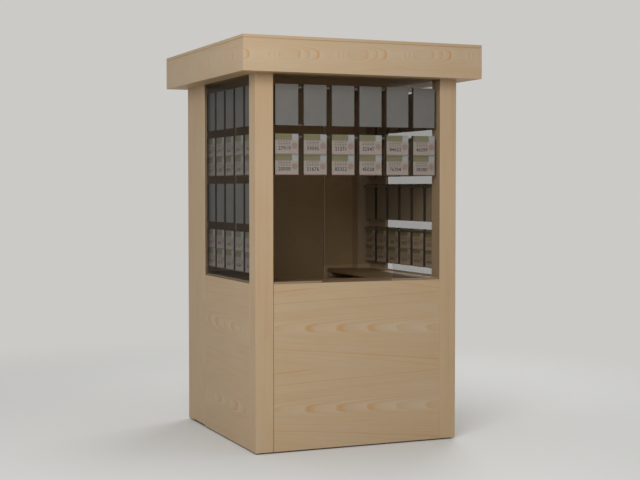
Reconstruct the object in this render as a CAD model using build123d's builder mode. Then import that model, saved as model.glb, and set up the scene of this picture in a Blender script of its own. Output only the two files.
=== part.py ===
from build123d import *
import os

# A square timber ticket kiosk: four corner posts, boarded walls up to a sill, glazed windows
# hung with display boxes, a counter inside on three sides, a rear door and a boxed flat roof.
# Millimetres. The origin is on the floor under the middle of the cabin, +Z is up, the serving
# side faces -Y and the door is in the +Y side.

# Cabin
WIDTH = 1330.0              # outside, left to right
DEPTH = 1330.0              # outside, front to back
POST_WIDTH = 112.0          # corner post along X
POST_DEPTH = 108.0          # corner post along Y
BOARD = 19.0                # thickness of wall, door and fascia boards
SILL_HEIGHT = 1006.0        # top of the low panels and of the counter
WALL_HEIGHT = 2246.0        # underside of the roof
FOOT_HEIGHT = 9.0           # of the feet that hold the posts off the floor
FOOT_RADIUS = 22.0
BOARD_LIFT = 8.0            # upright boards stop this much short of the posts' feet
PANEL_JOINT = 2.5           # open joint beside the front panel and beside one back board
FILLER_WIDTH = 254.0        # upright board between a side window and the rear post
EDGE_EASE = 1.5             # chamfer along the long edges

# Roof
ROOF_OVERHANG = 115.0       # past the cabin on every side
FASCIA_HEIGHT = 189.0
ROOF_BOARD = 19.0           # thickness of the top board
SOFFIT_BOARD = 16.0         # thickness of the ceiling board
ROOF_EASE = 3.0             # chamfer where the top board meets the fascias

# Windows
GLASS = 6.0
GLASS_SETBACK = 5.0         # behind the outer face
GROOVE_DEPTH = 8.0          # of the glazing grooves in the posts and the filler boards
PLAY = 0.3                  # round the glass in its grooves
HATCH_WIDTH = 470.0         # serving hatch cut in the front glass
HATCH_HEIGHT = 106.0
HATCH_RADIUS = 20.0
BEAD_WIDTH = 14.0           # bead behind the foot of each pane
BEAD_HEIGHT = 12.0

# Counter
COUNTER_THICKNESS = 25.0
FRONT_REACH = 330.0         # inner edge of the front counter, from the outside face
COUNTER_CLEARANCE = 21.0    # between the doorway and a side counter
CLEAT = 30.0                # square battens under the counter
BATTEN = 25.0               # square battens behind the panel edges

# Display boxes, which fill each window evenly, and the rails that they hang on
CARD_THICKNESS = 25.0
CARD_EASE = 2.0
CARD_CLEARANCE = 19.0       # from the front glass to its boxes
SIDE_CLEARANCE = 27.0       # from the side glass to its boxes
CARD_GAP = 32.5             # between neighbours
END_GAP = 22.0              # between a row and the posts
ROW_GAP = 50.0              # between rows
ROW_MARGIN = 57.0           # under the ceiling, and over the counter
CARD_COUNT = 6
SIDE_ROW_COUNT = 4
FRONT_ROW_COUNT = 2
RAIL_HEIGHT = 10.0
RAIL_THICKNESS = 4.0
RAIL_DROP = 22.0            # underside of a rail, from the top of its row

# Door
DOOR_WIDTH = 650.0
HEAD_HEIGHT = 230.0         # board over the doorway
DOOR_LIFT = 18.0            # over the floor
DOOR_GAP = 6.0              # beside the hinges and over the leaf
LOCK_GAP = 9.0              # beside the leaf's free edge
LEDGE_HEIGHT = 90.0
LEDGE_MARGIN = 25.0         # from the leaf's edge to a ledge's end
LEDGE_INSET = 150.0         # from the leaf's foot or head to the outer ledges
LEDGE_DROP = 155.0          # top of the middle ledge, under the sill's height

# Hinges
HINGE_HEIGHT = 90.0
HINGE_PLATE = 2.0
HINGE_RADIUS = 5.0
HINGE_INSET = 320.0         # from the leaf's foot or head to the middle of a hinge
PIN_RADIUS = 2.5
PIN_PLAY = 0.05
PIN_HEAD_RADIUS = 4.0
PIN_HEAD = 2.0
KNUCKLE_GAP = 0.5
KNUCKLE_COUNT = 3

# Knobs
KNOB_INSET = 70.0           # from the leaf's free edge
KNOB_RISE = 48.0            # over the middle ledge
KNOB_RADIUS = 25.0
KNOB_LENGTH = 26.0
KNOB_SLOPE = 7.0            # chamfers at the head's two ends
ROSE_RADIUS = 27.0
ROSE_THICKNESS = 4.0
NECK_RADIUS = 9.0
NECK_LENGTH = 18.0

# Faces that several pieces share
half_width = WIDTH / 2
half_depth = DEPTH / 2
post_x = half_width - POST_WIDTH
post_y = half_depth - POST_DEPTH
wall_x = half_width - BOARD
wall_y = half_depth - BOARD
filler_y = post_y - FILLER_WIDTH
window_height = WALL_HEIGHT - SILL_HEIGHT
counter_y = half_depth - FRONT_REACH
counter_bottom = SILL_HEIGHT - COUNTER_THICKNESS
cleat_bottom = counter_bottom - CLEAT
roof_x = half_width + ROOF_OVERHANG
roof_y = half_depth + ROOF_OVERHANG
roof_top = WALL_HEIGHT + FASCIA_HEIGHT + ROOF_BOARD
board_foot = FOOT_HEIGHT + BOARD_LIFT
glass_depth = (GLASS_SETBACK, GLASS_SETBACK + GLASS)
groove = (GLASS_SETBACK - PLAY, GLASS_SETBACK + GLASS + PLAY)
doorway = {"left": DOOR_WIDTH / 2 + DOOR_GAP, "right": DOOR_WIDTH / 2 + LOCK_GAP}
counter_x = max(doorway.values()) + COUNTER_CLEARANCE
door_top = WALL_HEIGHT - HEAD_HEIGHT - DOOR_GAP
door_middle = (DOOR_LIFT + door_top) / 2
hinge_x = -(DOOR_WIDTH + DOOR_GAP) / 2
hinge_y = half_depth + HINGE_RADIUS

# One size of box, from the shorter row and from the four rows between counter and ceiling
shorter_row = 2 * min(post_x, post_y) - 2 * END_GAP
card_width = (shorter_row - (CARD_COUNT - 1) * CARD_GAP) / CARD_COUNT
all_rows = window_height - 2 * ROW_MARGIN
card_height = (all_rows - (SIDE_ROW_COUNT - 1) * ROW_GAP) / SIDE_ROW_COUNT

SIDES = {"left": -1, "right": 1}

# Each glazed wall seen from outside: X runs along it and Y runs inwards from its outer face.
WALLS = {
    "front": Plane(origin=(0, -half_depth, 0), x_dir=(1, 0, 0), z_dir=(0, 0, 1)),
    "left": Plane(origin=(-half_width, 0, 0), x_dir=(0, -1, 0), z_dir=(0, 0, 1)),
    "right": Plane(origin=(half_width, 0, 0), x_dir=(0, 1, 0), z_dir=(0, 0, 1)),
}


def keep(piece, name):
    """Label a finished piece and write it out under its own name."""
    piece.part.label = name
    export_step(piece.part, f"parts/{name}.step")


def block(x_span, y_span, mode=Mode.ADD):
    """Sketch the rectangle that fills a span of X and a span of Y, given in any order."""
    x_low, x_high = sorted(x_span)
    y_low, y_high = sorted(y_span)
    with Locations(((x_low + x_high) / 2, (y_low + y_high) / 2)):
        Rectangle(x_high - x_low, y_high - y_low, mode=mode)


def board(x_span, y_span, z_span):
    """A plain board that fills the given spans, with its upright edges eased."""
    z_low, z_high = z_span
    with BuildPart() as piece:
        with BuildSketch(Plane.XY.offset(z_low)):
            block(x_span, y_span)
        extrude(amount=z_high - z_low)
        chamfer(piece.edges().filter_by(Axis.Z), EDGE_EASE)
    return piece


def inwards(face, depths):
    """The two places at the given depths behind the outer face that a wall has at this X or Y."""
    return tuple(face - depth if face > 0 else face + depth for depth in depths)


def corner_post(side, end):
    """A square post. A front post has a groove for each of the two panes that end in it."""
    with BuildPart() as post:
        with BuildSketch(Plane.XY.offset(FOOT_HEIGHT)):
            block((side * post_x, side * half_width), (end * post_y, end * half_depth))
        extrude(amount=WALL_HEIGHT - FOOT_HEIGHT)
        chamfer(post.edges().filter_by(Axis.Z), EDGE_EASE)
        if end < 0:
            with BuildSketch(Plane.XY.offset(SILL_HEIGHT)):
                block((side * post_x, side * (post_x + GROOVE_DEPTH)), inwards(-half_depth, groove))
                block(inwards(side * half_width, groove), (-post_y, -post_y - GROOVE_DEPTH))
            extrude(amount=window_height, mode=Mode.SUBTRACT)
    return post


def filler_board(side):
    """An upright board beside a side window, with a groove for the pane in its front edge."""
    face = side * half_width
    with BuildPart() as filler:
        with BuildSketch(Plane.XY.offset(board_foot)):
            block(inwards(face, (0, BOARD)), (filler_y, post_y))
        extrude(amount=WALL_HEIGHT - board_foot)
        chamfer(filler.edges().filter_by(Axis.Z), EDGE_EASE)
        with BuildSketch(Plane.XY.offset(SILL_HEIGHT)):
            block(inwards(face, groove), (filler_y, filler_y + GROOVE_DEPTH))
        extrude(amount=window_height, mode=Mode.SUBTRACT)
    return filler


def fascia(half_length, reach, turn):
    """A roof edge board, mitred at both ends, made at the front and turned about the middle."""
    plane = Plane.XY.offset(WALL_HEIGHT).rotated((0, 0, turn))
    with BuildPart() as piece:
        with BuildSketch(plane):
            with BuildLine():
                Polyline(
                    (-half_length, -reach),
                    (half_length, -reach),
                    (half_length - BOARD, BOARD - reach),
                    (BOARD - half_length, BOARD - reach),
                    close=True,
                )
            make_face()
        extrude(amount=FASCIA_HEIGHT)
        outer_face = piece.faces().sort_by(Axis((0, 0, 0), plane.y_dir))[0]
        chamfer(outer_face.edges().sort_by(Axis.Z)[-1], ROOF_EASE)
    return piece


def card_face(wall):
    """How far the boxes' faces are behind a wall's outer face."""
    return GLASS_SETBACK + GLASS + (CARD_CLEARANCE if wall == "front" else SIDE_CLEARANCE)


def row_top(row):
    """The top of a row of boxes, counted from the ceiling."""
    return WALL_HEIGHT - ROW_MARGIN - row * (card_height + ROW_GAP)


def cards(wall, rows):
    """The display boxes of the given rows on one wall."""
    with BuildPart() as boxes:
        for row in rows:
            with BuildSketch(WALLS[wall].offset(row_top(row) - card_height)):
                with Locations((0, card_face(wall) + CARD_THICKNESS / 2)):
                    with GridLocations(card_width + CARD_GAP, 0, CARD_COUNT, 1):
                        Rectangle(card_width, CARD_THICKNESS)
            extrude(amount=card_height)
        chamfer(boxes.edges().filter_by(Axis.Z), CARD_EASE)
    return boxes


def rails(wall, rows):
    """One flat bar behind each of the given rows of boxes, from post to post."""
    span = 2 * (post_x if wall == "front" else post_y)
    with BuildPart() as bars:
        for row in rows:
            with BuildSketch(WALLS[wall].offset(row_top(row) - RAIL_DROP)):
                with Locations((0, card_face(wall) + CARD_THICKNESS + RAIL_THICKNESS / 2)):
                    Rectangle(span, RAIL_THICKNESS)
            extrude(amount=RAIL_HEIGHT)
    return bars


def hinge_leaves(side, wanted):
    """One half of every hinge: a plate in the gap and its knuckles round the shared pin."""
    pitch = HINGE_HEIGHT / KNUCKLE_COUNT
    plate = (hinge_x + side * DOOR_GAP / 2, hinge_x + side * (DOOR_GAP / 2 - HINGE_PLATE))
    with BuildPart() as halves:
        for bottom in hinge_bottoms:
            with BuildSketch(Plane.XY.offset(bottom)):
                block(plate, (wall_y, half_depth - KNUCKLE_GAP))
            extrude(amount=HINGE_HEIGHT)
            for number in range(KNUCKLE_COUNT):
                if number % 2 == wanted:
                    with BuildSketch(Plane.XY.offset(bottom + number * pitch + KNUCKLE_GAP / 2)):
                        block(plate, (wall_y, hinge_y))
                        with Locations((hinge_x, hinge_y)):
                            Circle(HINGE_RADIUS)
                            Circle(PIN_RADIUS + PIN_PLAY, mode=Mode.SUBTRACT)
                    extrude(amount=pitch - KNUCKLE_GAP)
    return halves


os.makedirs("parts", exist_ok=True)

# Corner posts, each on a round foot
for side_name, side in SIDES.items():
    keep(corner_post(side, -1), f"post_front_{side_name}")
    keep(corner_post(side, 1), f"post_rear_{side_name}")

with BuildPart() as feet:
    with BuildSketch():
        with GridLocations(WIDTH - POST_WIDTH, DEPTH - POST_DEPTH, 2, 2):
            Circle(FOOT_RADIUS)
    extrude(amount=FOOT_HEIGHT)
keep(feet, "feet")

# Low panels, with the open joint at the front panel's left edge
panel_span = (FOOT_HEIGHT, SILL_HEIGHT)
front_panel = board((PANEL_JOINT - post_x, post_x), (-half_depth, -wall_y), panel_span)
keep(front_panel, "front_panel")
for side_name, side in SIDES.items():
    skin = (side * wall_x, side * half_width)
    keep(board(skin, (-post_y, filler_y), panel_span), f"{side_name}_panel")
    keep(filler_board(side), f"{side_name}_filler_board")

# Back wall: a fixed board on each side of the doorway, with the open joint at the right
# board's outer edge, and one board over the doorway
back_skin = (wall_y, half_depth)
outer_edge = {"left": post_x, "right": post_x - PANEL_JOINT}
for side_name, side in SIDES.items():
    fixed = (side * doorway[side_name], side * outer_edge[side_name])
    keep(board(fixed, back_skin, (board_foot, WALL_HEIGHT)), f"back_board_{side_name}")
over_door = (-doorway["left"], doorway["right"])
head_board = board(over_door, back_skin, (door_top + DOOR_GAP, WALL_HEIGHT))
keep(head_board, "back_head_board")

# Door: a leaf with three ledges across its inner face
door_leaf = board((-DOOR_WIDTH / 2, DOOR_WIDTH / 2), back_skin, (DOOR_LIFT, door_top))
keep(door_leaf, "door_leaf")

middle_ledge_top = SILL_HEIGHT - LEDGE_DROP
ledge_bottoms = (
    DOOR_LIFT + LEDGE_INSET,
    middle_ledge_top - LEDGE_HEIGHT,
    door_top - LEDGE_INSET - LEDGE_HEIGHT,
)
with BuildPart() as door_ledges:
    for bottom in ledge_bottoms:
        with BuildSketch(Plane.XY.offset(bottom)):
            with Locations((0, wall_y - BOARD / 2)):
                Rectangle(DOOR_WIDTH - 2 * LEDGE_MARGIN, BOARD)
        extrude(amount=LEDGE_HEIGHT)
keep(door_ledges, "door_ledges")

# Knobs: one turned shape, outside and mirrored inside
knob_x = DOOR_WIDTH / 2 - KNOB_INSET
knob_z = middle_ledge_top + KNOB_RISE
knob_start = ROSE_THICKNESS + NECK_LENGTH
knob_end = knob_start + KNOB_LENGTH
with BuildPart() as door_knobs:
    with BuildSketch(Plane(origin=(knob_x, half_depth, knob_z))):
        with BuildLine():
            Polyline(
                (0, 0),
                (ROSE_RADIUS, 0),
                (ROSE_RADIUS, ROSE_THICKNESS),
                (NECK_RADIUS, ROSE_THICKNESS),
                (NECK_RADIUS, knob_start),
                (KNOB_RADIUS - KNOB_SLOPE, knob_start),
                (KNOB_RADIUS, knob_start + KNOB_SLOPE),
                (KNOB_RADIUS, knob_end - KNOB_SLOPE),
                (KNOB_RADIUS - KNOB_SLOPE, knob_end),
                (0, knob_end),
                close=True,
            )
        make_face()
    revolve(axis=Axis((knob_x, half_depth, knob_z), (0, 1, 0)))
    mirror(about=Plane.XZ.offset(-(wall_y + half_depth) / 2))
keep(door_knobs, "door_knobs")

# Hinges: the frame's half has the outer knuckles and the door's half the middle one
hinge_bottoms = (
    DOOR_LIFT + HINGE_INSET - HINGE_HEIGHT / 2,
    door_middle - HINGE_HEIGHT / 2,
    door_top - HINGE_INSET - HINGE_HEIGHT / 2,
)
keep(hinge_leaves(-1, 0), "frame_hinge_leaves")
keep(hinge_leaves(1, 1), "door_hinge_leaves")

with BuildPart() as hinge_pins:
    for bottom in hinge_bottoms:
        top = bottom + HINGE_HEIGHT - KNUCKLE_GAP / 2
        with BuildSketch(Plane.XY.offset(bottom)):
            with Locations((hinge_x, hinge_y)):
                Circle(PIN_RADIUS)
        extrude(amount=top - bottom)
        with BuildSketch(Plane.XY.offset(top)):
            with Locations((hinge_x, hinge_y)):
                Circle(PIN_HEAD_RADIUS)
        extrude(amount=PIN_HEAD)
keep(hinge_pins, "hinge_pins")

# Counter: a front board and two side boards, notched round the posts
with BuildPart() as front_counter:
    with BuildSketch(Plane.XY.offset(counter_bottom)):
        block((-wall_x, wall_x), (-wall_y, -counter_y))
        for side in SIDES.values():
            notch = (side * post_x, side * half_width)
            block(notch, (-half_depth, -post_y), mode=Mode.SUBTRACT)
    extrude(amount=COUNTER_THICKNESS)
keep(front_counter, "front_counter")

for side_name, side in SIDES.items():
    with BuildPart() as side_counter:
        with BuildSketch(Plane.XY.offset(counter_bottom)):
            block((side * counter_x, side * wall_x), (-counter_y, wall_y))
            notch = (side * post_x, side * half_width)
            block(notch, (post_y, half_depth), mode=Mode.SUBTRACT)
        extrude(amount=COUNTER_THICKNESS)
    keep(side_counter, f"{side_name}_counter")

with BuildPart() as counter_cleats:
    with BuildSketch(Plane.XY.offset(cleat_bottom)):
        block((-post_x, post_x), (-wall_y, CLEAT - wall_y))
        for side in SIDES.values():
            block((side * (wall_x - CLEAT), side * wall_x), (-post_y, post_y))
            block((side * counter_x, side * post_x), (wall_y - CLEAT, wall_y))
    extrude(amount=CLEAT)
keep(counter_cleats, "counter_cleats")

with BuildPart() as panel_battens:
    with BuildSketch(Plane.XY.offset(board_foot)):
        for side in SIDES.values():
            beside_post = (side * (post_x - BATTEN), side * post_x)
            on_side_wall = (side * (wall_x - BATTEN), side * wall_x)
            block(beside_post, (-wall_y, BATTEN - wall_y))
            block(on_side_wall, (-post_y, BATTEN - post_y))
            block(on_side_wall, (filler_y - BATTEN, filler_y + BATTEN))
    extrude(amount=cleat_bottom - board_foot)
keep(panel_battens, "panel_battens")

# Glass: the panes stand on the low panels, and the front one has the serving hatch in its foot
pane_half = post_x + GROOVE_DEPTH - PLAY
with BuildPart() as front_glass:
    with BuildSketch(Plane.XZ.offset(half_depth - GLASS_SETBACK)) as outline:
        block((-pane_half, pane_half), (SILL_HEIGHT, WALL_HEIGHT))
        hatch = (-HATCH_WIDTH / 2, HATCH_WIDTH / 2)
        block(hatch, (SILL_HEIGHT, SILL_HEIGHT + HATCH_HEIGHT), mode=Mode.SUBTRACT)
        hatch_corners = outline.vertices().group_by(Axis.Y)[1]
        fillet(hatch_corners, HATCH_RADIUS)
    extrude(amount=-GLASS)
keep(front_glass, "front_glass")

pane_span = (-post_y - GROOVE_DEPTH + PLAY, filler_y + GROOVE_DEPTH - PLAY)
for side_name, side in SIDES.items():
    with BuildPart() as side_glass:
        with BuildSketch(Plane.XY.offset(SILL_HEIGHT)):
            block(inwards(side * half_width, glass_depth), pane_span)
        extrude(amount=window_height)
    keep(side_glass, f"{side_name}_glass")

bead_depth = (groove[1], groove[1] + BEAD_WIDTH)
with BuildPart() as glazing_beads:
    with BuildSketch(Plane.XY.offset(SILL_HEIGHT)):
        for side in SIDES.values():
            block((side * HATCH_WIDTH / 2, side * post_x), inwards(-half_depth, bead_depth))
            block(inwards(side * half_width, bead_depth), (-post_y, filler_y))
    extrude(amount=BEAD_HEIGHT)
keep(glazing_beads, "glazing_beads")

# Display boxes: plain boxes in the first and third rows, printed ones in the second and fourth
for wall in WALLS:
    count = FRONT_ROW_COUNT if wall == "front" else SIDE_ROW_COUNT
    keep(rails(wall, range(count)), f"{wall}_rails")
    keep(cards(wall, range(0, count, 2)), f"{wall}_blank_cards")
    keep(cards(wall, range(1, count, 2)), f"{wall}_ticket_cards")

# Roof: a ceiling board on the posts, four mitred fascias round it and a board on top
soffit_x = roof_x - BOARD
soffit_y = roof_y - BOARD
soffit_z = (WALL_HEIGHT, WALL_HEIGHT + SOFFIT_BOARD)
keep(board((-soffit_x, soffit_x), (-soffit_y, soffit_y), soffit_z), "soffit")

keep(fascia(roof_x, roof_y, 0), "fascia_front")
keep(fascia(roof_y, roof_x, 90), "fascia_right")
keep(fascia(roof_x, roof_y, 180), "fascia_rear")
keep(fascia(roof_y, roof_x, -90), "fascia_left")

with BuildPart() as roof_board:
    with BuildSketch(Plane.XY.offset(roof_top - ROOF_BOARD)):
        Rectangle(2 * roof_x, 2 * roof_y)
    extrude(amount=ROOF_BOARD)
    chamfer(roof_board.faces().sort_by(Axis.Z)[0].edges(), ROOF_EASE)
keep(roof_board, "roof_board")
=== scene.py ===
# %% [markdown]
# # A timber ticket kiosk
# This lesson dresses a square selling kiosk: four corner posts, boarded walls, glazed windows
# hung with display boxes, a counter inside and a boxed flat roof. The construction is already
# made at its real size. Here it gets its wood, glass, paper and metal, a camera and a studio.

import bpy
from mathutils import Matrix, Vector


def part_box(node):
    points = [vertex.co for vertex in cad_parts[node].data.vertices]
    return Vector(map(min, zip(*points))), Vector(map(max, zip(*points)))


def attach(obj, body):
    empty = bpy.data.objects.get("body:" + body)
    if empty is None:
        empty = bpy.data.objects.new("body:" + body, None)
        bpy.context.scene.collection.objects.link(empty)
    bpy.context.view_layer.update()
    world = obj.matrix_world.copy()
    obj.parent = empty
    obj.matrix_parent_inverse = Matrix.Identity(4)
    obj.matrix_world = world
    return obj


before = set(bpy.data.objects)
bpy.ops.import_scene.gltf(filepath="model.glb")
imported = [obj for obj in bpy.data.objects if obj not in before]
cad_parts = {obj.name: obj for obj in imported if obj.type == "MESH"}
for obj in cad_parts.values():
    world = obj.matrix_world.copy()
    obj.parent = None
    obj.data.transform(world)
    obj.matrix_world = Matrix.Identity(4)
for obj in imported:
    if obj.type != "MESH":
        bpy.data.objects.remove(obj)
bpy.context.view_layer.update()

# %% Tools that the rest of the lesson uses
import math

import bmesh
import bpy
from mathutils import Vector

CABIN, DOOR = "cabin", "door"
MM = 0.001
scene = bpy.context.scene

# %% [markdown]
# ## Camera
# The kiosk is seen by a standing person from its front left corner. A camera is a place, a
# heading, a tilt and a lens. The lens is written for a sensor of the usual width, 36 mm.
# The four values were solved once from the kiosk's own straight edges, so that every corner of
# the model falls on its corner in the picture.

# %% Camera
CAMERA_PLACE = (-3.2740, -7.8290, 1.5713)
CAMERA_HEADING = 22.85      # degrees to the right of straight ahead
CAMERA_TILT = 2.27          # degrees down
CAMERA_LENS = 73.22         # mm

eye = bpy.data.objects.new("camera", bpy.data.cameras.new("camera"))
scene.collection.objects.link(eye)
eye.location = CAMERA_PLACE
eye.rotation_euler = (math.radians(90 - CAMERA_TILT), 0, -math.radians(CAMERA_HEADING))
eye.data.lens = CAMERA_LENS
scene.camera = eye
scene.view_settings.view_transform = "Standard"
print("camera at", CAMERA_PLACE, "lens", CAMERA_LENS)

# %% [markdown]
# ## Shader sums as plain arithmetic
# A material is a graph of small nodes, and a long formula becomes a tangle when each node is
# wired by hand. Here a `Wire` stands for one output, and `a * b + 1` on wires adds the Math
# nodes itself. Every other kind of node comes from one method, `Graph.node`, which takes the
# node's type, its settings and what its sockets get.


# %% A wire that can be added and multiplied
class Wire:
    """One output socket of a graph. Arithmetic on it adds Math nodes."""

    def __init__(self, graph, socket):
        self.graph = graph
        self.socket = socket

    def math(self, operation, *others):
        """Any operation of the Math node, with this wire as its first number."""
        return self.graph.node("ShaderNodeMath", {"operation": operation}, self, *others)

    def __add__(self, other):
        return self.math("ADD", other)

    def __sub__(self, other):
        return self.math("SUBTRACT", other)

    def __rsub__(self, other):
        return self.math("MULTIPLY_ADD", -1, other)

    def __mul__(self, other):
        return self.math("MULTIPLY", other)

    def __truediv__(self, other):
        return self.math("DIVIDE", other)

    def __mod__(self, other):
        return self.math("FLOORED_MODULO", other)

    def __pow__(self, other):
        return self.math("POWER", other)

    def __abs__(self):
        return self.math("ABSOLUTE")

    def __gt__(self, other):
        return self.math("GREATER_THAN", other)

    def __lt__(self, other):
        return self.math("LESS_THAN", other)

    __radd__ = __add__
    __rmul__ = __mul__


# %% A graph of nodes
class Graph:
    """A node tree under construction."""

    def __init__(self, tree):
        self.tree = tree

    def node(self, kind, settings=None, *inputs, out=0, **named):
        """Add a node: its settings first, then the value or the wire of each socket."""
        node = self.tree.nodes.new(kind)
        for key, value in (settings or {}).items():
            if key == "stops":
                self.set_stops(node.color_ramp, value)
            else:
                setattr(node, key, value)
        sockets = list(enumerate(inputs)) + [(k.replace("_", " "), v) for k, v in named.items()]
        for key, value in sockets:
            self.feed(node.inputs[key], value)
        return Wire(self, node.outputs[out])

    def set_stops(self, ramp, stops):
        """Give a colour ramp its stops, each a place from 0 to 1 and a grey level."""
        while len(ramp.elements) < len(stops):
            ramp.elements.new(1.0)
        for element, (place, level) in zip(ramp.elements, stops):
            element.position = place
            element.color = (level, level, level, 1)

    def feed(self, socket, value):
        """Link a wire to a socket, or set the socket's plain value. None leaves it alone."""
        if isinstance(value, Wire):
            self.tree.links.new(value.socket, socket)
        elif value is not None:
            socket.default_value = value


# %% A finish: the graph of one material
class Finish(Graph):
    """A material under construction. Its surface is one Principled shader."""

    def __init__(self, title):
        self.material = bpy.data.materials.new(title)
        self.material.use_nodes = True
        super().__init__(self.material.node_tree)
        self.surface = self.tree.nodes["Principled BSDF"]
        self.place = self.node("ShaderNodeTexCoord", out="Object")
        self.xyz = self.parts(self.place)

    def parts(self, vector):
        """The three numbers of a vector, each as a wire."""
        split = self.node("ShaderNodeSeparateXYZ", {}, vector).socket.node
        return [Wire(self, split.outputs[i]) for i in range(3)]

    def vector(self, x, y, z):
        """Three numbers as one vector."""
        return self.node("ShaderNodeCombineXYZ", {}, x, y, z)

    def scaled(self, places, scales):
        """Three places, each multiplied, as one vector. It draws a pattern out one way."""
        return self.vector(*[place * scale for place, scale in zip(places, scales)])

    def mix(self, share, first, second, blend="MIX"):
        """Blend two colours, each a wire or a plain RGBA."""
        return self.node("ShaderNodeMix", {"data_type": "RGBA", "blend_type": blend},
                         share, None, None, None, None, None, first, second, out=2)

    def tinted(self, colour, tone):
        """A colour with a thin wash of another over it: the two are multiplied."""
        return self.mix(1.0, colour, tone, "MULTIPLY")

    def grey(self, level):
        """A grey colour of the given linear level."""
        return self.node("ShaderNodeCombineColor", {}, level, level, level)

    def noise(self, vector, scale, detail=2.0, roughness=0.5):
        """Smooth noise about zero, from roughly -0.5 to 0.5."""
        return self.node("ShaderNodeTexNoise", {}, Vector=vector, Scale=scale,
                         Detail=detail, Roughness=roughness) - 0.5

    def ramp(self, wire, stops):
        """A curve through the given stops, each a place from 0 to 1 and a level."""
        return self.node("ShaderNodeValToRGB", {"stops": stops}, wire)

    def bump(self, height, strength, distance):
        """A normal tilted by a height map, for relief too fine for the mesh."""
        return self.node("ShaderNodeBump", {}, Strength=strength, Distance=distance,
                         Height=height)

    def set(self, **sockets):
        """Feed the surface's own sockets."""
        for key, value in sockets.items():
            self.feed(self.surface.inputs[key.replace("_", " ")], value)


def ink(red, green, blue):
    """A colour as the eye reads it, 0 to 255, turned into the linear light that nodes take."""
    def linear(level):
        level = level / 255
        return level / 12.92 if level <= 0.04045 else ((level + 0.055) / 1.055) ** 2.4
    return (linear(red), linear(green), linear(blue), 1)


def dress(names, material):
    """Give CAD nodes a finish."""
    for name in names:
        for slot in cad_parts[name].material_slots:
            slot.material = material
    print(material.name, "on", ", ".join(names))


# %% [markdown]
# ## Pine
# Every board is cut from a trunk, so its figure is a slice through the trunk's rings. A flat
# slice gives the long nested arches that show on the low panels and the roof edge. The finish
# therefore works out, for each point, how far it is from the trunk's heart and counts rings.
# The heart runs along the board. It is a little tapered, or swollen in waves, which is what
# bends the rings into arches and closed ovals. Each ring is pale inside, darkens outwards and
# ends sharply, and some years are stronger than others. Where a wave of the heart falls, the
# strong years fade near the middle of the arches, so that neighbouring ovals keep apart.
# Painting arches by hand would break at the board's edges, and a wood picture would repeat.

# %% Tones of pine
PALE_PINE = ink(178, 157, 129)
WARM_PINE = ink(177, 149, 114)
# What the years lay over them, each a tone and how strongly it covers
FLUSH = (ink(184, 166, 141), 0.5)       # the pale ground inside an arch
SPELL = (ink(168, 136, 98), 1.3)        # dry years, whose lines run into one brown band
LINE = (ink(165, 127, 80), 0.6)         # the dark end of a year
HONEY = (ink(184, 130, 58), 0.9)        # resin at the tips of the arches
# Painted light laid over a board, each a tone and how deep behind the face it starts
INDOOR_BOUNCE_LIGHT = (ink(255, 249, 230), 10 * MM)  # painted warm bounce light on a board's room side
UNDER_ROOF_BOUNCE_LIGHT = (ink(255, 249, 230), 0.1)  # the same painted warm bounce light on the ceiling board
COUNTER_SHADE = (ink(196, 189, 176), -1.0)    # painted shade over the whole counter

# %% Shape of the rings
RING = 7.0 * MM             # width of one year's growth
BEND = 2.0                  # how far the trunk bends sideways, in rings
SAG = 0.5                   # the same towards the face and away from it
SHIVER = 0.8 * MM           # how far a ring strays from its curve
FLATTEN = 22.0              # how much the rings open out far from the heart
BLUNT = 2000.0              # how pointed the tips of the arches are: less is rounder
CALM = 90.0                 # how soon the waves along the heart die out beside it
DIM = 0.45                  # half of what the strong years lose where a wave falls
ARCH = 400.0                # how close that loss and the flush keep to the arches' middle
CORE = 3200.0               # how tightly the resin gathers at the tips of the arches
FAINT, STRONG = 0.1, 0.8    # darkness of the faintest year, and what the strongest adds
STRAY_RESIN = 0.3           # of the strongest years away from the tips
LATE_WOOD = [(0.0, 0.0), (0.66, 0.06), (0.9, 1.0), (1.0, 0.0)]  # darkness through one year
# How often each pattern changes per metre along, across and behind the face
CLOUDS = (1.1, 5, 5)
SHIVERS = (6, 70, 70)
STREAKS = (2.2, 170, 170)
FIBRES = (9, 900, 900)
SPELLS_OUTWARDS, SPELLS_ALONG = 55, 0.6


# %% A trunk
class Trunk:
    """The trunk that boards are sawn from."""

    def __init__(self, heart, taper=0.0, squeeze=1.0, waves=None, ring=RING, core=CORE,
                 resin=1.0, luck=0):
        self.heart = heart          # how deep behind the face the heart lies
        self.taper = taper          # how much deeper it gets along the board
        self.squeeze = squeeze      # how the rings crowd on the low side of the arches
        self.waves = waves          # length, height, lean and start of the heart's waves
        self.ring = ring            # width of one year's growth
        self.core = core            # how tightly the resin gathers at the tips of the arches
        self.resin = resin          # how much resin there is
        self.luck = luck            # which years are strong


# %% A slice through the trunk
def bell(wire, sharpness):
    """A hump that is 1 where the wire is zero, and dies out on both sides."""
    return (wire * wire * -sharpness).math("EXPONENT")


def sawn(paint, places, trunk):
    """Work out where a board's face runs through its trunk.

    Gives the three places with the trunk's bends in them, the distance beside the heart and
    from the heart, and a number from 0.1, where a wave of the heart falls, to 1, where it rises.
    """
    along, across, behind = places
    bend = paint.noise(paint.scaled(places, CLOUDS), 1.0, 1.0)
    across = bend * (trunk.ring * BEND) + across
    side = across.math("MAXIMUM", 0) + across.math("MINIMUM", 0) * trunk.squeeze
    side = side / (side * side * FLATTEN + 1) ** 0.5
    side = side * (1 - bell(across, BLUNT))
    depth = along * trunk.taper + behind + trunk.heart + bend * (trunk.ring * SAG)
    rise = 1.0
    if trunk.waves:
        length, height, lean, start = trunk.waves
        turn = (along - start) * (2 * math.pi / length)
        turn = turn - turn.math("SINE") * lean
        depth = turn.math("SINE") * bell(side, CALM) * height + depth
        rise = turn.math("COSINE") * DIM + (1 - DIM)
    return (along, across, behind), side, (side * side + depth * depth) ** 0.5, rise


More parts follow.
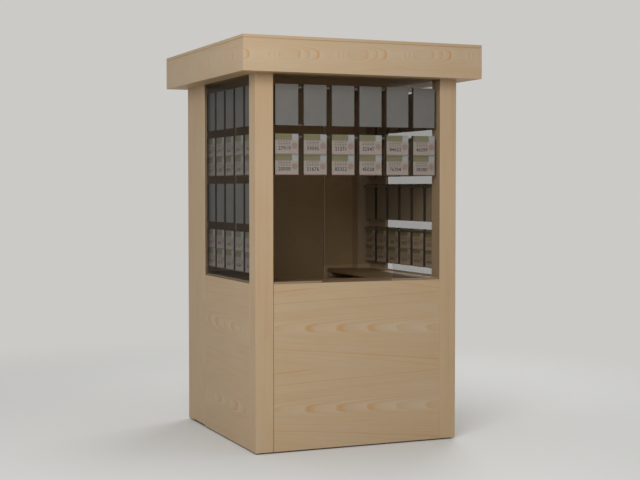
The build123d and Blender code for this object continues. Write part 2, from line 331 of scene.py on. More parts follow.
# %% The years that the slice shows
def growth(paint, places, side, radius, rise, trunk):
    """Give each point's shares of pale flush, brown spell, dark line and honey."""
    shiver = paint.noise(paint.scaled(places, SHIVERS), 1.0, 2.0)
    years = (shiver * SHIVER + radius) / trunk.ring
    part = years % 1.0
    late = paint.ramp(part, LATE_WOOD)
    arch = bell(side, ARCH)
    strength = paint.node("ShaderNodeTexWhiteNoise", {"noise_dimensions": "1D"},
                          W=years - part + trunk.luck)
    strength = strength * (1 - arch * (1 - rise))
    spell = paint.noise(paint.vector(radius * SPELLS_OUTWARDS, places[0] * SPELLS_ALONG,
                                     trunk.luck), 1.0, 1.0)
    gathered = bell(side, trunk.core) * (strength * STRONG + FAINT) * trunk.resin
    return ((1 - part) * arch,
            spell.math("MAXIMUM", 0),
            late * (strength * strength * STRONG + FAINT),
            late * (gathered + strength ** 6 * STRAY_RESIN))


# %% The finish of a sawn board
def pine(title, names, axes, trunk, figure=1.0, warmth=0.0, painted_light=None):
    """Finish boards with pine sawn from a trunk.

    axes turns x, y and z into places along, across and behind the board's face. figure is the
    strength of the years and warmth shifts the whole board's tone. The last argument is a tone
    of painted shade or painted warm bounce light laid over the board, and how deep behind the
    face it starts.
    """
    paint = Finish("pine_" + title)
    straight = axes(*paint.xyz)
    bent, side, radius, rise = sawn(paint, straight, trunk)
    flush, spell, line, honey = [
        share * figure for share in growth(paint, bent, side, radius, rise, trunk)]
    cloud = paint.noise(paint.scaled(straight, CLOUDS), 2.3, 2.0)
    streak = paint.noise(paint.scaled(bent, STREAKS), 1.0, 2.0, 0.6)
    fibre = paint.noise(paint.scaled(bent, FIBRES), 1.0, 3.0, 0.6)
    colour = paint.mix(cloud * 1.5 + (0.5 + warmth), PALE_PINE, WARM_PINE)
    for share, (tone, cover) in ((flush, FLUSH), (spell, SPELL), (line, LINE), (honey, HONEY)):
        colour = paint.mix(share * cover, colour, tone)
    colour = paint.tinted(colour, paint.grey(streak * 0.10 + fibre * 0.06 + 1.0))
    # Painted shade or painted warm bounce light, on the faces that lie deeper than start behind
    # the board's face.
    if painted_light:
        tone, start = painted_light
        colour = paint.mix(straight[2] > start, colour, paint.tinted(colour, tone))
    paint.set(
        Base_Color=colour,
        Roughness=fibre * 0.16 - line * 0.08 + 0.55,
        Normal=paint.bump(line * 0.5 + fibre, 0.25, 0.4 * MM),
    )
    dress(names, paint.material)


# %% [markdown]
# ### Which way each board's grain runs
# Posts and uprights have their grain standing, panels, back wall and roof edges have it lying.
# The low panels are faced with two leaves of the same veneer, one over the other, so their
# arches come twice. On the side walls the upper leaf is turned end for end. Boards that share
# a finish are sawn from different stretches of the trunk, so that no two of them look alike.
# The luck of the low panels' trunks and of the roof edges' trunk was picked so that their
# strong years come where the real boards have them.

# %% Where the boards are
def middle(name):
    """The middle of a CAD node's box."""
    low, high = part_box(name)
    return (low + high) / 2


HALF_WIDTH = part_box("right_panel")[1].x
HALF_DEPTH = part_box("back_board_left")[1].y
ROOF_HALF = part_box("roof_board")[1].x
post = middle("post_rear_right")
filler = middle("right_filler_board")
roof_edge = middle("fascia_front")
side_panel = middle("left_panel")
print("walls:", round(HALF_WIDTH, 4), round(HALF_DEPTH, 4), "roof:", round(ROOF_HALF, 4))

# %% Leaves and stretches of a trunk
LEAF = 0.485                # height of one veneer leaf
LEAF_MIDDLE = 0.237         # height of the lower leaf's arches


def leaf(height, lift=0.0):
    """The height inside one veneer leaf, counted from the middle of its arches."""
    return (height - lift - (LEAF_MIDDLE - LEAF / 2)) % LEAF - LEAF / 2


def flip(place, height):
    """The place along a board whose upper leaf is turned end for end."""
    return place * ((height > LEAF_MIDDLE + LEAF / 2) * 2 - 1)


def further(place, way, shift):
    """The place along the trunk, where boards on the positive side are sawn further along."""
    return place + (way > 0) * shift


# %% Pine for the low panels
TIP_SLOPE = -0.036          # of the line through the tips of the front panel's arches
SIDE_WAVES = (1.1, 15.5 * MM, 0.5, 0.144)
SIDE_SHIFT = 0.07           # along the trunk, from the left panel to the right one
SIDE_SQUASH = 0.85          # of heights, which makes the side panels' ovals taller

pine("front_panel", ["front_panel"],
     lambda x, y, z: (x, leaf(z, x * TIP_SLOPE), y + HALF_DEPTH),
     Trunk(heart=0.1349, taper=-0.034, squeeze=1.8, resin=0.8, luck=14907),
     figure=1.1, warmth=0.1)
pine("side_panels", ["left_panel", "right_panel"],
     lambda x, y, z: (further(flip(y - side_panel.y, z), x, SIDE_SHIFT),
                      leaf(z) * SIDE_SQUASH, HALF_WIDTH - abs(x)),
     Trunk(heart=0.0642, waves=SIDE_WAVES, ring=7.5 * MM, core=1500.0, resin=0.5, luck=43664),
     figure=1.25, warmth=0.2)

# %% Pine for the uprights
RIGHT_SHIFT = 3.1           # along the trunk, from the left uprights to the right ones
REAR_SHIFT = 5.3            # along the trunk, from the front posts to the rear ones
POST_ASIDE = 0.075          # of the heart from a post's middle, where the lines run straight
FILLER_ASIDE = 0.10         # the same on a filler board

pine("posts",
     ["post_front_left", "post_front_right", "post_rear_left", "post_rear_right"],
     lambda x, y, z: (further(further(z, x, RIGHT_SHIFT), y, REAR_SHIFT),
                      abs(x) - post.x + POST_ASIDE, post.y - abs(y)),
     Trunk(heart=0.12, taper=0.010, ring=5 * MM), figure=0.6, warmth=0.25)
pine("fillers", ["left_filler_board", "right_filler_board"],
     lambda x, y, z: (further(z, x, RIGHT_SHIFT), y - filler.y + FILLER_ASIDE,
                      HALF_WIDTH - abs(x)),
     Trunk(heart=0.10, taper=0.012, ring=5 * MM), figure=0.6, warmth=0.2)

# %% Pine for the back wall and the door
BACK_SHIFT = 1.3            # along the trunk, from the left back board to the right one
BACK_DROP = 0.1             # of the joint between the back wall's leaves
DOOR_SHIFT = 3.0            # along the trunk, from the back boards to the door
DOOR_WAVES = (0.52, 9 * MM, 0.4, 0.1)
LEDGE_PITCH = 0.2           # height after which the ledges' figure comes again

# The back wall, the door and the ledges get painted warm bounce light on the room's side.
pine("back_wall", ["back_board_left", "back_board_right", "back_head_board"],
     lambda x, y, z: (further(x, x, BACK_SHIFT), leaf(z + BACK_DROP), HALF_DEPTH - y),
     Trunk(heart=0.11, taper=0.03, squeeze=1.5, resin=0.15),
     figure=0.7, warmth=0.35, painted_light=INDOOR_BOUNCE_LIGHT)
pine("door", ["door_leaf"],
     lambda x, y, z: (x + DOOR_SHIFT, leaf(z), HALF_DEPTH - y),
     Trunk(heart=0.09, taper=0.012, waves=DOOR_WAVES, resin=0.15),
     figure=0.7, warmth=0.35, painted_light=INDOOR_BOUNCE_LIGHT)
pine("ledges", ["door_ledges"],
     lambda x, y, z: (x, z % LEDGE_PITCH - LEDGE_PITCH / 2, HALF_DEPTH - y),
     Trunk(heart=0.10, taper=0.02, ring=5 * MM), figure=0.7, warmth=0.2, painted_light=INDOOR_BOUNCE_LIGHT)

# %% Pine for the counter and the battens
COUNTER_LEVEL = 1.0         # where depths into the counters are counted from
FRONT_ARCHES = 0.48         # of the front counter, how far they run from the cabin's middle
SIDE_ARCHES = 0.5           # the same on the side counters
COUNTER_SHIFT = 1.9         # along the trunk, from the left counter to the right one
BATTEN_PITCH = 0.1          # width after which the battens' figure comes again

counter_trunk = Trunk(heart=0.12, taper=0.02)
# The counters get painted shade all over.
pine("front_counter", ["front_counter"],
     lambda x, y, z: (x, y + FRONT_ARCHES, COUNTER_LEVEL - z),
     counter_trunk, figure=0.8, warmth=0.3, painted_light=COUNTER_SHADE)
pine("side_counters", ["left_counter", "right_counter"],
     lambda x, y, z: (further(y, x, COUNTER_SHIFT), abs(x) - SIDE_ARCHES, COUNTER_LEVEL - z),
     counter_trunk, figure=0.8, warmth=0.3, painted_light=COUNTER_SHADE)
pine("battens", ["counter_cleats", "panel_battens", "glazing_beads"],
     lambda x, y, z: (z + x + y, x % BATTEN_PITCH - BATTEN_PITCH / 2, y % BATTEN_PITCH),
     Trunk(heart=0.08, taper=0.01, ring=4 * MM), figure=0.5)

# %% Pine for the roof
ROOF_WAVES = (0.436, 9.6 * MM, 0.33, -0.3735)
ROOF_SLOPE = 0.03           # of the middle line of the front edge's figure
ROOF_SQUASH = 0.8           # of heights, which makes the arcs taller
ROOF_REAR_SHIFT = 0.17      # along the trunk, from the front edge to the rear one
ROOF_RIGHT_SHIFT = 0.11     # along the trunk, from the left edge to the right one
ROOF_SIDE_START = -0.04     # where the left edge starts on the trunk
ROOF_LEAF = 0.40            # width of one leaf on the roof
ROOF_LEVEL = 2.5            # where depths into the roof are counted from


def roof_wave(place, height):
    """The height from the gently rising middle line of the roof edge's figure."""
    return (height - roof_edge.z - (place + ROOF_HALF) * ROOF_SLOPE) * ROOF_SQUASH


edge_trunk = Trunk(heart=0.0542, waves=ROOF_WAVES, ring=5.5 * MM, resin=0.6, luck=42401)
pine("fascia_ends", ["fascia_front", "fascia_rear"],
     lambda x, y, z: (further(x, y, ROOF_REAR_SHIFT), roof_wave(x, z), ROOF_HALF - abs(y)),
     edge_trunk, figure=1.1, warmth=-0.05)
pine("fascia_sides", ["fascia_left", "fascia_right"],
     lambda x, y, z: (further(y * -1, x, ROOF_RIGHT_SHIFT) + ROOF_SIDE_START,
                      (z - roof_edge.z) * ROOF_SQUASH, ROOF_HALF - abs(x)),
     edge_trunk, figure=1.1, warmth=-0.05)
# The soffit under the roof gets painted warm bounce light.
pine("roof", ["roof_board", "soffit"],
     lambda x, y, z: (x, (y + ROOF_HALF) % ROOF_LEAF - ROOF_LEAF / 2, ROOF_LEVEL - z),
     Trunk(heart=0.12, taper=0.015, resin=0.5), figure=0.8, warmth=0.1, painted_light=UNDER_ROOF_BOUNCE_LIGHT)

# %% [markdown]
# ## Glass
# The panes are lightly smoked float glass: the cabin behind them looks dim, and so does the
# room behind the cabin. A solid that bends light would make the renderer hunt for the lamps
# through it, and the inside would turn grainy. A pane this thin hardly bends light, so the
# finish is a dark polished surface that is mostly open, and closes a little at a slant.

# %% Glass for the three panes
SMOKE = 0.107               # share of the light that each face of a pane holds back
SLANT_SMOKE = 0.5           # what it holds back besides, where it is seen edge on
glass = Finish("window_glass")
slant = glass.node("ShaderNodeLayerWeight", {}, Blend=0.5, out="Facing")
smear = glass.noise(glass.place, 3.0, 2.0)
glass.set(
    Base_Color=ink(13, 12, 10),
    Roughness=smear * 0.02 + 0.03,
    Specular_IOR_Level=0.03,
    Alpha=slant ** 3 * SLANT_SMOKE + SMOKE,
)
dress(["front_glass", "left_glass", "right_glass"], glass.material)

# %% [markdown]
# ## Display boxes
# Each box is folded from card. Its broad faces are mid-grey with a fine speckle, and the
# narrow sides carry painted shade, dark brown, which is why the gaps between the boxes read as
# dark lines. On the front wall, where more light falls into the gaps, the painted shade is a
# little paler. The side of a face is told by its normal. On the room's side the broad faces
# carry painted warm bounce light from the wooden room, so they are a little browner.

# %% The two sides of a box
WALLS = FRONT, LEFT, RIGHT = "front", "left", "right"


def behind_wall(wall, x, y):
    """How far a point is behind the outer face of a glazed wall."""
    if wall == FRONT:
        return y + HALF_DEPTH
    return (x if wall == LEFT else x * -1) + HALF_WIDTH


BOX_MIDDLE = {wall: behind_wall(wall, *middle(wall + "_blank_cards").xy) for wall in WALLS}
print("middles of the boxes:", {wall: round(depth, 4) for wall, depth in BOX_MIDDLE.items()})

# %% Grey card and white card
# Painted shade on the narrow sides of the boxes, paler on the front wall where more light falls
# into the gaps
CARD_SIDE_SHADE = {FRONT: ink(70, 58, 45), LEFT: ink(46, 37, 28), RIGHT: ink(46, 37, 28)}
# A face's dark and light, its painted warm bounce light on the room's side, and how strong the
# speckle is
GREY_CARD = (ink(108, 105, 101), ink(150, 147, 141), ink(146, 127, 101), 0.6)
WHITE_CARD = (ink(160, 154, 147), ink(178, 172, 165), ink(130, 115, 94), 0.3)
SQUARE_ON = 0.8             # a normal's share along an axis that counts as facing that way


def card(title, wall, dark, light, room_bounce, grain):
    """The finish of one wall's boxes."""
    paint = Finish(title)
    x, y, _ = paint.xyz
    normal = paint.parts(paint.node("ShaderNodeNewGeometry", out="True Normal"))
    broad = abs(normal[1] if wall == FRONT else normal[0]) > SQUARE_ON
    room_side = behind_wall(wall, x, y) > BOX_MIDDLE[wall]
    speckle = paint.noise(paint.place, 900.0, 2.0, 0.7)
    scuff = paint.noise(paint.place, 14.0, 3.0)
    face = paint.mix(speckle * grain + scuff * 0.3 + 0.5, dark, light)
    # On the room's side the face gets painted warm bounce light.
    face = paint.mix(room_side, face, paint.mix(speckle * 0.3, room_bounce, dark))
    # The narrow sides get painted shade in place of the face.
    paint.set(
        Base_Color=paint.mix(broad, CARD_SIDE_SHADE[wall], face),
        Roughness=scuff * 0.15 + 0.72,
        Normal=paint.bump(speckle, 0.3, 0.3 * MM),
    )
    return paint.material


for wall in WALLS:
    dress([wall + "_blank_cards"], card(wall + "_grey_card", wall, *GREY_CARD))
    dress([wall + "_ticket_cards"], card(wall + "_white_card", wall, *WHITE_CARD))

# %% [markdown]
# ## Printed slips
# The second and fourth rows of boxes carry printed paper slips, two to a face, one over the
# other, on the buyer's side and on the seller's side. A slip is a sheet of paper: it gets a
# thickness, a free foot that curls out, and the upper one laps over the lower one. The rail
# runs across the top of the room's side, so the slips there hang under it. The print itself is
# invented: fine crossing waves, a green band of rings with a silver block, a rosette, rows of
# dashes, a perforated stub and a pink strip along the foot.

# %% Find the separate boxes in a CAD node
def solids(name):
    """The low and high corners of each loose solid in a CAD node, in order."""
    mesh = bmesh.new()
    mesh.from_mesh(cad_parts[name].data)
    bmesh.ops.remove_doubles(mesh, verts=mesh.verts, dist=1e-6)
    waiting = set(mesh.verts)
    found = []
    while waiting:
        reached = [waiting.pop()]
        for vert in reached:
            for edge in vert.link_edges:
                other = edge.other_vert(vert)
                if other in waiting:
                    waiting.remove(other)
                    reached.append(other)
        places = [vert.co for vert in reached]
        found.append((Vector([min(p[i] for p in places) for i in range(3)]),
                      Vector([max(p[i] for p in places) for i in range(3)])))
    mesh.free()
    return sorted(found, key=lambda box: [round(value, 4) for value in box[0]])


# %% The faces that slips are stuck to
SLIPS = 2                   # on each face
RAIL_CLEAR = 2 * MM         # between the rail and the slips under it
rail_foot = (solids("front_ticket_cards")[0][1].z - solids("front_rails")[0][0].z
             + RAIL_CLEAR)
print("slips on the room's side start", round(rail_foot / MM, 1), "mm under the boxes' tops")


class Face:
    """A broad face of a box: its corner at the lower left, its directions and a slip's size."""

    def __init__(self, wall, box, room_side):
        low, high = box
        sign = {FRONT: -1, LEFT: -1, RIGHT: 1}[wall] * (-1 if room_side else 1)
        self.out = Vector((0, sign, 0)) if wall == FRONT else Vector((sign, 0, 0))
        self.up = Vector((0, 0, 1))
        self.right = self.up.cross(self.out)
        centre = (low + high) / 2
        size = high - low
        depth = size.y if wall == FRONT else size.x
        self.width = size.x if wall == FRONT else size.y
        self.height = (size.z - (rail_foot if room_side else 0)) / SLIPS
        self.corner = centre + self.out * depth / 2 - self.right * self.width / 2
        self.corner.z = low.z

    def place(self, slip, along, rise, out):
        """A point on one of the face's slips, in metres from the slip's lower left corner."""
        return (self.corner + self.right * along + self.up * (rise + slip * self.height)
                + self.out * out)


def faces_of(wall):
    """Both broad faces of each printed box on a wall."""
    return [Face(wall, box, room_side) for box in solids(wall + "_ticket_cards")
            for room_side in (False, True)]


# %% Build the paper
PAPER = 0.4 * MM
STAND_OFF = 0.3 * MM        # of the lower slip from the box
LAYER = PAPER + 0.1 * MM    # how much further out the upper slip lies
SLIP_MARGIN = 1.0 * MM      # of card beside a slip
SLIP_GAP = 1.0 * MM         # over a slip's head
LAP = 4 * MM                # of an upper slip over the lower one
CURL = 4 * MM               # how far a foot stands out
CURL_HEIGHT = 18 * MM       # where the curl starts
COLUMNS, ROWS = 4, 8
CROWDING = 1.6              # of the rows towards the foot, where the paper bends


def add_slip(mesh, face, slip):
    """Add one thin closed sheet whose foot curls away from the box."""
    lap = LAP if slip else 0.0
    stations = [SLIP_MARGIN + (face.width - 2 * SLIP_MARGIN) * column / COLUMNS
                for column in range(COLUMNS + 1)]
    skins = []
    for thickness in (0.0, PAPER):
        skin = []
        for row in range(ROWS + 1):
            rise = -lap + (face.height + lap - SLIP_GAP) * (row / ROWS) ** CROWDING
            curl = CURL * max(0.0, 1 - (rise + lap) / CURL_HEIGHT) ** 2
            out = STAND_OFF + slip * LAYER + curl + thickness
            skin.append([mesh.verts.new(face.place(slip, along, rise, out))
                         for along in stations])
        skins.append(skin)
    back, front = skins
    for row in range(ROWS):
        for column in range(COLUMNS):
            a, b = (row, column), (row, column + 1)
            c, d = (row + 1, column + 1), (row + 1, column)
            mesh.faces.new([front[i][j] for i, j in (a, b, c, d)])
            mesh.faces.new([back[i][j] for i, j in (d, c, b, a)])
    rim = ([(0, j) for j in range(COLUMNS)] + [(i, COLUMNS) for i in range(ROWS)]
           + [(ROWS, j) for j in range(COLUMNS, 0, -1)] + [(i, 0) for i in range(ROWS, 0, -1)])
    for (i, j), (k, m) in zip(rim, rim[1:] + rim[:1]):
        mesh.faces.new([back[i][j], back[k][m], front[k][m], front[i][j]])


# %% Turn a mesh into a piece
def piece(title, mesh, body, material):
    """Turn a bmesh into a piece that moves with a body."""
    data = bpy.data.meshes.new(title)
    mesh.to_mesh(data)
    mesh.free()
    data.materials.append(material)
    thing = bpy.data.objects.new(title, data)
    scene.collection.objects.link(thing)
    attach(thing, body)
    triangles = sum(len(face.vertices) - 2 for face in data.polygons)
    print("piece:", title, triangles, "triangles")


# %% Where a point is on its slip
ROW_OF_BOXES = 6
ROW_START = 0.5 * MM        # how far under the boxes the print's rows are counted from
lower_box, upper_box = solids("left_ticket_cards")[:2]
ROW_PITCH = upper_box[0].z - lower_box[0].z
print("printed rows are", round(ROW_PITCH, 4), "m apart")


def on_slip(paint, wall):
    """Give a point's place along and up its slip, the slip's height and the room side's mask."""
    x, y, z = paint.xyz
    low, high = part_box(wall + "_ticket_cards")
    first_low, first_high = solids(wall + "_ticket_cards")[0]
    axis = 0 if wall == FRONT else 1
    width = (first_high - first_low)[axis]
    tall = (first_high - first_low).z / SLIPS
    pitch = (high[axis] - low[axis] - width) / (ROW_OF_BOXES - 1)
    along = x if wall == FRONT else y
    if wall == LEFT:
        along = along * -1
    room_side = behind_wall(wall, x, y) > BOX_MIDDLE[wall]
    u = abs((along - low[axis]) % pitch / width - room_side) * width
    step = room_side * (-rail_foot / SLIPS) + tall
    return u, (z - low.z + ROW_START) % ROW_PITCH % step, tall, room_side


# %% Layout of the print
# Places are along and up from the slip's lower left corner. Lines are a pitch and a width.
BAND_HEIGHT = 36 * MM                   # the green band at the head
BAND_RINGS = 45 * MM                    # where along the head its rings have their middle
BAND_LINES = (5 * MM, 2.5 * MM)
SILVER_START = 108 * MM                 # the silver block at the band's right end
ROSETTE = (125 * MM, 52 * MM)
ROSETTE_RADIUS = 19 * MM
ROSETTE_LINES = (6 * MM, 3 * MM)
DASHES = (58 * MM, 69 * MM)             # the middle of the block of dashes
DASHES_HALF = (40 * MM, 14 * MM)        # half of the block's size
DASH_ROWS = (9 * MM, 3.2 * MM)
DASH_LENGTHS = (17 * MM, 13 * MM)
WAVE_TURNS = 140                        # of the fine waves, in radians per metre
WAVE_HEIGHT = 1.6 * MM
WAVE_LINES = (6 * MM, 1.4 * MM)
STUB = 12 * MM                          # where the holes beside the stub are
STUB_HALF = 0.6 * MM                    # half of a hole's width
STUB_HOLES = (3 * MM, 1.5 * MM)
STRIP_HEIGHT = 6 * MM                   # the pink strip at the foot

# %% Inks of the print
CREAM, CREAM_SHADE = ink(188, 177, 166), ink(174, 163, 152)
OLIVE, LIGHT_OLIVE = ink(122, 116, 82), ink(150, 145, 112)
ROSE, PALE_ROSE = ink(152, 124, 115), ink(176, 156, 147)
BROWN = ink(84, 72, 64)
SILVER = ink(176, 178, 176)
ROOM_SIDE_WARM_LIGHT = ink(246, 234, 207)  # painted warm bounce light on the paper on the room's side


# %% Print the slips
def stripes(wire, pitch, width):
    """A mask of stripes of one width, one to each pitch."""
    return wire % pitch < width


def distance(u, v, centre):
    """How far a point on a slip is from a centre."""
    across, up = u - centre[0], v - centre[1]
    return (across * across + up * up) ** 0.5


def printed(wall):
    """Paper with a printed design that repeats on every slip of one wall."""
    paint = Finish(wall + "_print")
    u, v, tall, room_side = on_slip(paint, wall)
    fibre = paint.noise(paint.place, 260.0, 2.0)
    tint = paint.noise(paint.place, 25.0, 2.0)
    sway = (u * WAVE_TURNS).math("SINE") * WAVE_HEIGHT
    waves = stripes(v + sway, *WAVE_LINES).math("MAXIMUM", stripes(v - sway, *WAVE_LINES))
    from_rosette = distance(u, v, ROSETTE)
    rosette = paint.mix(stripes(from_rosette, *ROSETTE_LINES), PALE_ROSE, ROSE)
    dashes = (stripes(v, *DASH_ROWS) * stripes(u, *DASH_LENGTHS)
              * (abs(u - DASHES[0]) < DASHES_HALF[0]) * (abs(v - DASHES[1]) < DASHES_HALF[1]))
    rings = stripes(distance(u, v, (BAND_RINGS, tall)), *BAND_LINES)
    band = paint.mix(u > SILVER_START, paint.mix(rings, LIGHT_OLIVE, OLIVE), SILVER)
    stub = (abs(u - STUB) < STUB_HALF) * stripes(v, *STUB_HOLES)
    colour = paint.mix(fibre + 0.5, CREAM, CREAM_SHADE)
    colour = paint.mix(waves * 0.22, colour, ROSE)
    colour = paint.mix(from_rosette < ROSETTE_RADIUS, colour, rosette)
    colour = paint.mix(dashes * 0.9, colour, BROWN)
    colour = paint.mix(v < STRIP_HEIGHT, colour, ROSE)
    colour = paint.mix(v > tall - BAND_HEIGHT, colour, band)
    colour = paint.mix(stub * 0.7, colour, BROWN)
    colour = paint.tinted(colour, paint.grey(tint * 0.12 + 1.0))
    # On the room's side the paper gets painted warm bounce light.
    colour = paint.mix(room_side, colour, paint.tinted(colour, ROOM_SIDE_WARM_LIGHT))
    paint.set(
        Base_Color=colour,
        Roughness=fibre * 0.1 + 0.55,
        Normal=paint.bump(fibre, 0.15, 0.1 * MM),
    )
    return paint.material


for wall in WALLS:
    mesh = bmesh.new()
    for face in faces_of(wall):
        for slip in range(SLIPS):
            add_slip(mesh, face, slip)
    piece(wall + "_slips", mesh, CABIN, printed(wall))

# %% [markdown]
# ## Numbers on the slips
# Every slip has its own plain five-digit number. Digits painted by a formula would be a long
# list of strokes, while a letter punch gives them in one go: each of the ten digits is taken
# once from the built-in font as a thin raised shape, and stamped where it is needed.

# %% Ten punches
DIGIT_HEIGHT = 22 * MM
DIGIT_SHARE = 0.7           # of the font's size that a digit is tall
DIGIT_BOLD = 0.5 * MM       # added to every stroke's edge
DIGIT_RELIEF = 0.05 * MM


def punch(digit):
    """The mesh of one digit, upright in X and Z, with its lower left corner at the origin."""
    text = bpy.data.curves.new("digit", "FONT")
    text.body = str(digit)
    text.size = DIGIT_HEIGHT / DIGIT_SHARE
    text.extrude = DIGIT_RELIEF
    text.offset = DIGIT_BOLD
    text.resolution_u = 2
    holder = bpy.data.objects.new("digit", text)
    data = bpy.data.meshes.new_from_object(holder)
    bpy.data.objects.remove(holder)
    bpy.data.curves.remove(text)
    weld = bmesh.new()
    weld.from_mesh(data)
    bmesh.ops.remove_doubles(weld, verts=weld.verts, dist=0.001 * MM)
    weld.to_mesh(data)
    weld.free()
    return data


punches = [punch(digit) for digit in range(10)]
print("digits:", [len(data.vertices) for data in punches], "vertices")

# %% Stamp the numbers
NUMBER_PLACE = (20 * MM, 26 * MM)
DIGIT_STEP = 16 * MM
INK_LIFT = 0.06 * MM        # of a digit's middle over the paper
FIRST_NUMBER, NUMBER_STEP, NUMBER_SPAN = 20000, 7919, 70000


def stamp(mesh, face, slip, number):
    """Add a number's raised digits to one slip."""
    left, foot = NUMBER_PLACE
    out = STAND_OFF + slip * LAYER + PAPER + INK_LIFT
    for index, digit in enumerate(str(number)):
        data = punches[int(digit)]
        spots = [mesh.verts.new(face.place(slip, left + index * DIGIT_STEP + vert.co.x,
                                           foot + vert.co.y, out + vert.co.z))
                 for vert in data.vertices]
        for polygon in data.polygons:
            mesh.faces.new([spots[i] for i in polygon.vertices])


number_ink = Finish("number_ink")
wear = number_ink.noise(number_ink.place, 300.0, 2.0)
number_ink.set(Base_Color=number_ink.mix(wear + 0.5, ink(58, 50, 46), ink(80, 70, 64)),
               Roughness=wear * 0.1 + 0.5)
count = 0
for wall in WALLS:
    mesh = bmesh.new()
    for face in faces_of(wall):
        for slip in range(SLIPS):
            stamp(mesh, face, slip, FIRST_NUMBER + count * NUMBER_STEP % NUMBER_SPAN)
            count += 1
    piece(wall + "_numbers", mesh, CABIN, number_ink.material)
print("numbers:", count)

# %% [markdown]
# ## Metal
# The rails are plain aluminium bar that has gone dull, and the door's fittings are satin
# steel. Both are brushed along their length, so the scratches stretch one way.

# %% Aluminium and steel
# How often the scratches change per metre along x, y and z
RAIL_SCRATCHES = (40, 40, 2500)
FITTING_SCRATCHES = (900, 900, 30)


def brushed(title, names, light, dark, roughness, scales):
    """Finish metal parts with scratches that run one way."""
    paint = Finish(title)
    scratches = paint.noise(paint.scaled(paint.xyz, scales), 1.0, 3.0)
    smudge = paint.noise(paint.place, 18.0, 2.0)
    paint.set(
        Base_Color=paint.mix(scratches + 0.5, dark, light),
        Metallic=1.0,
        Roughness=scratches * 0.15 + smudge * 0.12 + roughness,
        Normal=paint.bump(scratches, 0.15, 0.1 * MM),
    )
    dress(names, paint.material)


brushed("rail_aluminium", ["front_rails", "left_rails", "right_rails"],
        ink(178, 173, 163), ink(146, 141, 132), roughness=0.5, scales=RAIL_SCRATCHES)
brushed("fitting_steel",
        ["door_knobs", "door_hinge_leaves", "frame_hinge_leaves", "hinge_pins"],
        ink(196, 192, 186), ink(150, 147, 142), roughness=0.32, scales=FITTING_SCRATCHES)

# %% [markdown]
# ## Door seal and rubber
# A half-round rubber strip is stuck along the door's free edge and along its head. It nearly
# fills the gaps, so that daylight and draught stay out, and it swings with the door. The posts
# stand on black rubber pads.

# %% The gaps that the seal fills
leaf_low, leaf_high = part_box("door_leaf")
leaf_middle = middle("door_leaf")
edge_gap = solids("back_board_right")[0][0].x - leaf_high.x
head_gap = solids("back_head_board")[0][0].z - leaf_high.z
print("door gaps:", round(edge_gap / MM, 1), "mm beside,", round(head_gap / MM, 1), "mm above")

# %% Seal on the door
SEAL_HALF = 6 * MM          # half of the strip's width
SEAL_END = 4 * MM           # of the door's edge left bare at each end
EDGE_FILL, HEAD_FILL = 0.6, 0.7  # share of its gap that each strip fills
STEPS = 8


def half_round(mesh, start, end, out, side, reach):
    """Add a closed half-round strip from start to end that stands out of a flat edge."""
    rings = []
    for place in (start, end):
        ring = []
        for step in range(STEPS + 1):
            angle = math.pi * (step / STEPS - 0.5)
            ring.append(mesh.verts.new(place + side * (SEAL_HALF * math.sin(angle))
                                       + out * (reach * math.cos(angle))))
        rings.append(ring)
    first, last = rings
    for step in range(STEPS):
        mesh.faces.new([first[step], first[step + 1], last[step + 1], last[step]])
    mesh.faces.new([first[STEPS], first[0], last[0], last[STEPS]])
    mesh.faces.new(first[::-1])
    mesh.faces.new(last)


mesh = bmesh.new()
half_round(mesh, Vector((leaf_high.x, leaf_middle.y, leaf_low.z + SEAL_END)),
           Vector((leaf_high.x, leaf_middle.y, leaf_high.z - SEAL_END)),
           Vector((1, 0, 0)), Vector((0, 1, 0)), edge_gap * EDGE_FILL)
half_round(mesh, Vector((leaf_low.x + SEAL_END, leaf_middle.y, leaf_high.z)),
           Vector((leaf_high.x - SEAL_END, leaf_middle.y, leaf_high.z)),
           Vector((0, 0, 1)), Vector((0, -1, 0)), head_gap * HEAD_FILL)
bmesh.ops.recalc_face_normals(mesh, faces=mesh.faces)
seal_rubber = Finish("seal_rubber")
bloom = seal_rubber.noise(seal_rubber.place, 40.0, 2.0)
seal_rubber.set(Base_Color=seal_rubber.mix(bloom + 0.5, ink(58, 48, 38), ink(72, 62, 50)),
                Roughness=bloom * 0.2 + 0.75)
piece("door_seal", mesh, DOOR, seal_rubber.material)

# %% Black rubber under the posts
rubber = Finish("foot_rubber")
dust = rubber.noise(rubber.place, 60.0, 3.0)
rubber.set(Base_Color=rubber.mix(dust + 0.5, ink(30, 30, 30), ink(52, 51, 49)),
           Roughness=dust * 0.2 + 0.8)
dress(["feet"], rubber.material)

# %% [markdown]
# ## Studio
# A pale floor fades into a pale world, so no edge of the set shows from any side. The world
# gives an even light, and large soft lamps add a direction to it. What the eye sees of the
# world, straight, mirrored or through a pane, has its own brightness, so that the backdrop's
# tone and the light on the kiosk are set apart from each other.

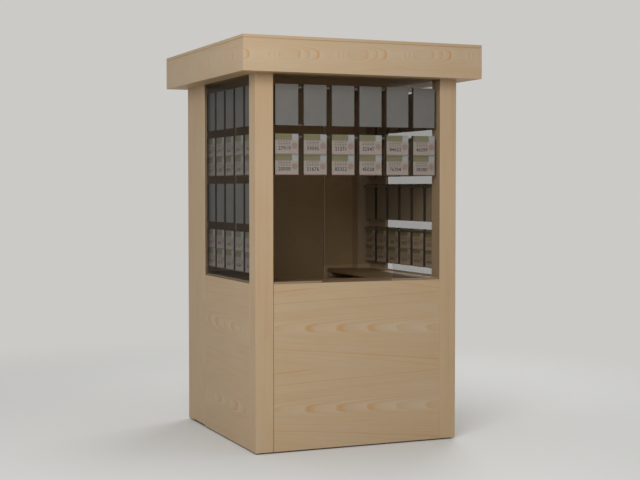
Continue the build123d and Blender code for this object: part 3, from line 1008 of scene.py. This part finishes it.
# %% World
WORLD_LIGHT = 0.42          # what the kiosk gets from all around
BACKGROUND = ink(203, 202, 199)
world = bpy.data.worlds.new("studio")
scene.world = world
world.use_nodes = True
air = Graph(world.node_tree)
seen, mirrored, passed = [air.node("ShaderNodeLightPath", out=kind) for kind in
                          ("Is Camera Ray", "Is Glossy Ray", "Is Transmission Ray")]
even = air.node("ShaderNodeBackground", {}, (1, 1, 1, 1), WORLD_LIGHT)
backdrop = air.node("ShaderNodeBackground", {}, BACKGROUND, 1.0)
shown = air.node("ShaderNodeMixShader", {}, seen.math("MAXIMUM", mirrored).math("MAXIMUM", passed),
                 even, backdrop)
air.feed(world.node_tree.nodes["World Output"].inputs["Surface"], shown)
print("world: light", WORLD_LIGHT)

# %% Lamps
AIM = Vector((0, 0, 1.2))   # the middle of the kiosk


def lamp(title, place, size, power):
    """A square soft lamp that points at the kiosk."""
    light = bpy.data.lights.new(title, "AREA")
    light.size = size
    light.energy = power
    holder = bpy.data.objects.new(title, light)
    scene.collection.objects.link(holder)
    holder.location = place
    holder.rotation_euler = (AIM - holder.location).to_track_quat("-Z", "Y").to_euler()
    print(title, size, "m wide,", power, "W")


lamp("front_lamp", (-3.0, -4.3, 3.5), size=2.5, power=172)
lamp("top_lamp", (0.0, 0.0, 6.0), size=4.0, power=100)
lamp("rear_lamp", (3.2, 3.6, 3.5), size=3.0, power=100)

# %% Floor
FLOOR_RADIUS = 30.0
FADE_START, FADE_END = 1.6, 5.5  # metres from the middle where the world takes over
bpy.ops.mesh.primitive_circle_add(vertices=96, radius=FLOOR_RADIUS, fill_type="NGON")
floor = bpy.context.object
floor.name = "floor"
matt = Finish("studio_floor")
x, y, _ = matt.xyz
reach = (x * x + y * y) ** 0.5
fade = (reach - FADE_START) / (FADE_END - FADE_START)
fade = matt.node("ShaderNodeMapRange", {"interpolation_type": "SMOOTHSTEP"}, fade, 0, 1, 1, 0)
matt.set(Base_Color=ink(206, 206, 204), Roughness=0.8, Alpha=fade)
floor.data.materials.append(matt.material)
print("floor:", FLOOR_RADIUS, "m, faded out at", FADE_END, "m")
